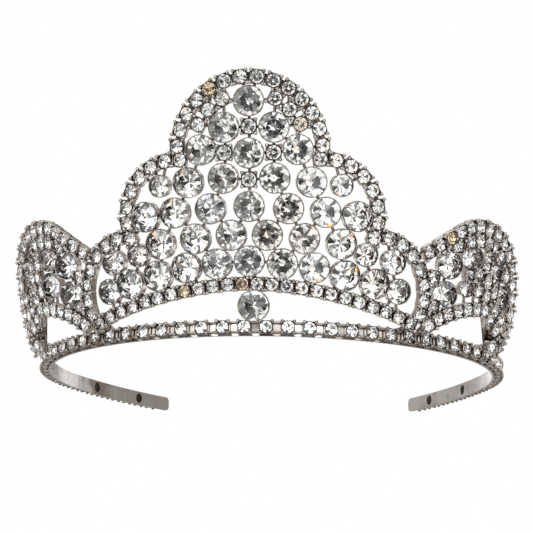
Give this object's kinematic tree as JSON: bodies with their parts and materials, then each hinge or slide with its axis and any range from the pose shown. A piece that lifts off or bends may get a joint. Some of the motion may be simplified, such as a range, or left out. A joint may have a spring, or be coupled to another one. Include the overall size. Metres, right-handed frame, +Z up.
{
  "type": "bridal tiara",
  "caption": "Crystal bridal tiara: lobed panel of round set stones, side wings, chain borders, on a flat open metal headband.",
  "frame": {"origin": "on the plane of the headband's lower edge, under the middle of the whole tiara's box", "axes": "+Z up, the front of the tiara faces -Y, the arms run towards +Y, +X is the right side seen from the front"},
  "size_m": [0.154, 0.1642, 0.0724],
  "materials": {
    "band_metal": "brushed",
    "setting_metal": "polished silver-tone plating",
    "solder": "satin",
    "crystal": "clear, faceted, foil-backed"
  },
  "bodies": {
    "root": {"arch_cups": "setting_metal", "arch_frame": "setting_metal", "arch_stones": "crystal", "arm_plugs": "setting_metal", "base_chain_cups": "setting_metal", "base_chain_links": "setting_metal", "base_chain_stones": "crystal", "crown_feet": "solder", "drop_cup": "setting_metal", "drop_hangers": "solder", "drop_stone": "crystal", "headband_strip": "band_metal", "lower_lobe_cups_left": "setting_metal", "lower_lobe_cups_right": "setting_metal", "lower_lobe_frame_left": "setting_metal", "lower_lobe_frame_right": "setting_metal", "lower_lobe_stones_left": "crystal", "lower_lobe_stones_right": "crystal", "mid_lobe_cups_left": "setting_metal", "mid_lobe_cups_right": "setting_metal", "mid_lobe_frame_left": "setting_metal", "mid_lobe_frame_right": "setting_metal", "mid_lobe_stones_left": "crystal", "mid_lobe_stones_right": "crystal", "panel_filler_cups": "setting_metal", "panel_filler_stones": "crystal", "panel_large_cups": "setting_metal", "panel_large_stones": "crystal", "panel_medium_cups": "setting_metal", "panel_medium_stones": "crystal", "panel_solder_joints": "solder", "post_cups_left": "setting_metal", "post_cups_right": "setting_metal", "post_frame_left": "setting_metal", "post_frame_right": "setting_metal", "post_stones_left": "crystal", "post_stones_right": "crystal", "top_inner_cups": "setting_metal", "top_inner_stones": "crystal", "top_lobe_cups": "setting_metal", "top_lobe_frame": "setting_metal", "top_lobe_stones": "crystal", "wing_border_cups_left": "setting_metal", "wing_border_cups_right": "setting_metal", "wing_border_stones_left": "crystal", "wing_border_stones_right": "crystal", "wing_filler_cups_left": "setting_metal", "wing_filler_cups_right": "setting_metal", "wing_filler_stones_left": "crystal", "wing_filler_stones_right": "crystal", "wing_frame_left": "setting_metal", "wing_frame_right": "setting_metal", "wing_round_cups_left": "setting_metal", "wing_round_cups_right": "setting_metal", "wing_round_stones_left": "crystal", "wing_round_stones_right": "crystal", "wing_solder_joints_left": "solder", "wing_solder_joints_right": "solder"}
  },
  "joints": []
}
